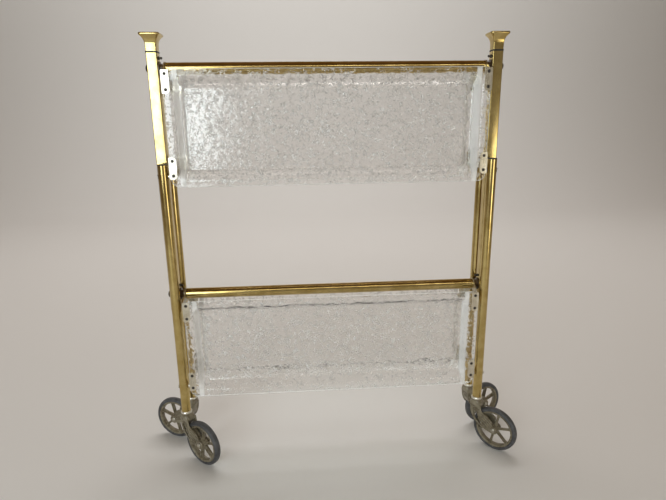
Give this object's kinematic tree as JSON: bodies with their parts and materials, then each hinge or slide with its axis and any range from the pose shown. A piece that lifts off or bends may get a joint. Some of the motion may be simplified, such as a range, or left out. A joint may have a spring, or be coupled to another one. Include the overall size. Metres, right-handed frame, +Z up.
{
  "type": "folding serving trolley",
  "caption": "Folding serving trolley with gold tube frame, clear textured trays hinged in pairs, round legs and spoked swivel casters, standing folded flat.",
  "frame": {"origin": "on the ground, at the middle of the box around the folded trolley with its casters as they stand", "axes": "+X along the trolley to the right, +Y across it to the rear, +Z up"},
  "size_m": [0.8048, 0.1668, 0.8565],
  "materials": {
    "gold": "gold anodised, satin",
    "silver": "nickel plated",
    "chrome": "bright plated",
    "steel": "plain",
    "dark_steel": "blackened",
    "black_plastic": "moulded",
    "champagne_plastic": "moulded, metallic champagne",
    "acrylic": "clear, crinkle textured",
    "rubber": "grey"
  },
  "bodies": {
    "central_frame": {"left_post": "gold", "right_post": "gold", "left_knob": "gold", "right_knob": "gold", "left_post_bottom_cap": "black_plastic", "right_post_bottom_cap": "black_plastic", "upper_cross_tube": "gold", "lower_cross_tube": "gold", "upper_left_hinge_pin": "dark_steel", "upper_right_hinge_pin": "dark_steel", "lower_left_hinge_pin": "dark_steel", "lower_right_hinge_pin": "dark_steel"},
    "front_upper_shelf": {"front_upper_tray": "acrylic", "front_upper_left_hinge_bracket": "silver", "front_upper_left_leg_bracket": "silver", "front_upper_right_hinge_bracket": "silver", "front_upper_right_leg_bracket": "silver"},
    "front_lower_shelf": {"front_lower_tray": "acrylic", "front_lower_left_hinge_bracket": "silver", "front_lower_left_leg_bracket": "silver", "front_lower_right_hinge_bracket": "silver", "front_lower_right_leg_bracket": "silver"},
    "rear_upper_shelf": {"rear_upper_tray": "acrylic", "rear_upper_left_hinge_bracket": "silver", "rear_upper_left_leg_bracket": "silver", "rear_upper_right_hinge_bracket": "silver", "rear_upper_right_leg_bracket": "silver"},
    "rear_lower_shelf": {"rear_lower_tray": "acrylic", "rear_lower_left_hinge_bracket": "silver", "rear_lower_left_leg_bracket": "silver", "rear_lower_right_hinge_bracket": "silver", "rear_lower_right_leg_bracket": "silver"},
    "front_legs": {"front_left_leg": "gold", "front_right_leg": "gold", "front_left_upper_rivet": "chrome", "front_left_lower_rivet": "chrome", "front_right_upper_rivet": "chrome", "front_right_lower_rivet": "chrome"},
    "rear_legs": {"rear_left_leg": "gold", "rear_right_leg": "gold", "rear_left_upper_rivet": "chrome", "rear_left_lower_rivet": "chrome", "rear_right_upper_rivet": "chrome", "rear_right_lower_rivet": "chrome"},
    "front_left_swivel": {"front_left_caster_fork": "champagne_plastic", "front_left_caster_axle": "steel"},
    "front_left_wheel": {"front_left_caster_rim": "champagne_plastic", "front_left_caster_tyre": "rubber"},
    "front_right_swivel": {"front_right_caster_fork": "champagne_plastic", "front_right_caster_axle": "steel"},
    "front_right_wheel": {"front_right_caster_rim": "champagne_plastic", "front_right_caster_tyre": "rubber"},
    "rear_left_swivel": {"rear_left_caster_fork": "champagne_plastic", "rear_left_caster_axle": "steel"},
    "rear_left_wheel": {"rear_left_caster_rim": "champagne_plastic", "rear_left_caster_tyre": "rubber"},
    "rear_right_swivel": {"rear_right_caster_fork": "champagne_plastic", "rear_right_caster_axle": "steel"},
    "rear_right_wheel": {"rear_right_caster_rim": "champagne_plastic", "rear_right_caster_tyre": "rubber"}
  },
  "joints": [
    {"name": "trolley_fold", "type": "hinge", "parent": "central_frame", "child": "front_upper_shelf", "pos_m": [0, 0.01508, 0.7963], "axis": [-1, 0, 0], "range_deg": [0, 90]},
    {"name": "front_lower_shelf_fold", "type": "hinge", "parent": "central_frame", "child": "front_lower_shelf", "pos_m": [0, 0.01508, 0.3605], "axis": [-1, 0, 0], "range_deg": [-1, 91]},
    {"name": "rear_upper_shelf_fold", "type": "hinge", "parent": "central_frame", "child": "rear_upper_shelf", "pos_m": [0, 0.01508, 0.7963], "axis": [1, 0, 0], "range_deg": [-1, 91]},
    {"name": "rear_lower_shelf_fold", "type": "hinge", "parent": "central_frame", "child": "rear_lower_shelf", "pos_m": [0, 0.01508, 0.3605], "axis": [1, 0, 0], "range_deg": [-1, 91]},
    {"name": "front_legs_fold", "type": "hinge", "parent": "front_upper_shelf", "child": "front_legs", "pos_m": [0, -0.01332, 0.6023], "axis": [1, 0, 0], "range_deg": [-1, 91]},
    {"name": "rear_legs_fold", "type": "hinge", "parent": "rear_upper_shelf", "child": "rear_legs", "pos_m": [0, 0.04348, 0.6023], "axis": [-1, 0, 0], "range_deg": [-1, 91]},
    {"name": "front_left_caster_swivel", "type": "hinge", "parent": "front_legs", "child": "front_left_swivel", "pos_m": [-0.3145, -0.01332, 0.1085], "axis": [0, 0, 1], "range_deg": [-141, 39]},
    {"name": "front_left_wheel_spin", "type": "hinge", "parent": "front_left_swivel", "child": "front_left_wheel", "pos_m": [-0.27875, -0.04227, 0.048], "axis": [0.6293, 0.7771, 0], "continuous": true},
    {"name": "front_right_caster_swivel", "type": "hinge", "parent": "front_legs", "child": "front_right_swivel", "pos_m": [0.3145, -0.01332, 0.1085], "axis": [0, 0, 1], "range_deg": [-134, 46]},
    {"name": "front_right_wheel_spin", "type": "hinge", "parent": "front_right_swivel", "child": "front_right_wheel", "pos_m": [0.34645, -0.04641, 0.048], "axis": [0.7193, 0.6947, 0], "continuous": true},
    {"name": "rear_left_caster_swivel", "type": "hinge", "parent": "rear_legs", "child": "rear_left_swivel", "pos_m": [-0.3145, 0.04348, 0.1085], "axis": [0, 0, 1], "range_deg": [-158, 22]},
    {"name": "rear_left_wheel_spin", "type": "hinge", "parent": "rear_left_swivel", "child": "rear_left_wheel", "pos_m": [-0.35715, 0.06071, 0.048], "axis": [-0.3746, -0.9272, 0], "continuous": true},
    {"name": "rear_right_caster_swivel", "type": "hinge", "parent": "rear_legs", "child": "rear_right_swivel", "pos_m": [0.3145, 0.04348, 0.1085], "axis": [0, 0, 1], "range_deg": [-22, 158]},
    {"name": "rear_right_wheel_spin", "type": "hinge", "parent": "rear_right_swivel", "child": "rear_right_wheel", "pos_m": [0.35715, 0.06071, 0.048], "axis": [-0.3746, 0.9272, 0], "continuous": true}
  ],
  "couplings": [
    {"joint": "front_lower_shelf_fold", "follows": "trolley_fold", "ratio": 1},
    {"joint": "rear_upper_shelf_fold", "follows": "trolley_fold", "ratio": 1},
    {"joint": "rear_lower_shelf_fold", "follows": "trolley_fold", "ratio": 1},
    {"joint": "front_legs_fold", "follows": "trolley_fold", "ratio": 1},
    {"joint": "rear_legs_fold", "follows": "trolley_fold", "ratio": 1}
  ]
}
